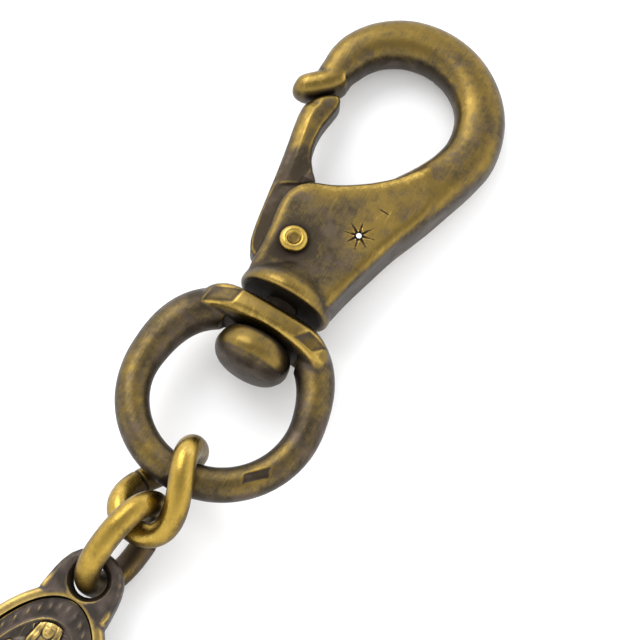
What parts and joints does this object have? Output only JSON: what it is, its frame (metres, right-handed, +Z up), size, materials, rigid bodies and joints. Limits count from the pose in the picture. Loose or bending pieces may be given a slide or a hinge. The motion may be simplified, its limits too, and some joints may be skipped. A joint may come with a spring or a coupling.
{
  "type": "keychain bottle opener",
  "caption": "Brass keychain with a sprung lever-gate swivel snap hook, chain links and an oval medal plate that is pierced to lift bottle caps.",
  "frame": {"origin": "under the middle of the bounding box, on the table the keychain lies on", "axes": "+Y runs along the keychain towards the hook's crown, +X to the right of it, +Z up from the table"},
  "size_m": [0.0358, 0.151, 0.0159],
  "materials": {
    "aged_brass": "aged, brown-olive patina with worn golden edges",
    "bright_brass": "handled, yellow with dull hollows",
    "dark_brass": "darkened field with rubbed golden rim and relief",
    "spring_steel": "drawn wire",
    "clear_stone": "faceted, clear"
  },
  "bodies": {
    "hook": {"hook_body": "aged_brass", "swivel_stud": "aged_brass", "gate_rivet": "bright_brass", "gate_spring": "spring_steel", "star_stone": "clear_stone"},
    "gate": {"gate_lever": "aged_brass"},
    "eye": {"swivel_eye": "aged_brass"},
    "link_1": {"chain_link_1": "bright_brass"},
    "link_2": {"chain_link_2": "bright_brass"},
    "opener": {"opener_body": "dark_brass", "medal": "dark_brass"}
  },
  "joints": [
    {"name": "gate_hinge", "type": "hinge", "parent": "hook", "child": "gate", "pos_m": [-0.00176, 0.03319, 0.00664], "axis": [0, -0.0767, -0.9971], "range_deg": [0, 28], "stiffness_Nm_per_rad": 0.15, "springref_deg": -28.65, "deforming": ["gate_spring"]},
    {"name": "eye_swivel", "type": "hinge", "parent": "hook", "child": "eye", "pos_m": [0.00102, 0.0248, 0.00729], "axis": [0, 0.9971, -0.0767], "continuous": true},
    {"name": "link_1_swing", "type": "hinge", "parent": "eye", "child": "link_1", "pos_m": [0.00102, -0.00489, 0.00957], "axis": [0.9991, 0.0428, -0.0033], "range_deg": [-90, 30]},
    {"name": "link_2_swing", "type": "hinge", "parent": "link_1", "child": "link_2", "pos_m": [-0.00173, -0.01471, 0.00824], "axis": [0.9651, -0.18, 0.19], "range_deg": [-90, 90]},
    {"name": "opener_swing", "type": "hinge", "parent": "link_2", "child": "opener", "pos_m": [-0.00318, -0.02385, 0.00682], "axis": [-0.0087, -0.096, 0.9953], "range_deg": [-90, 90]}
  ]
}
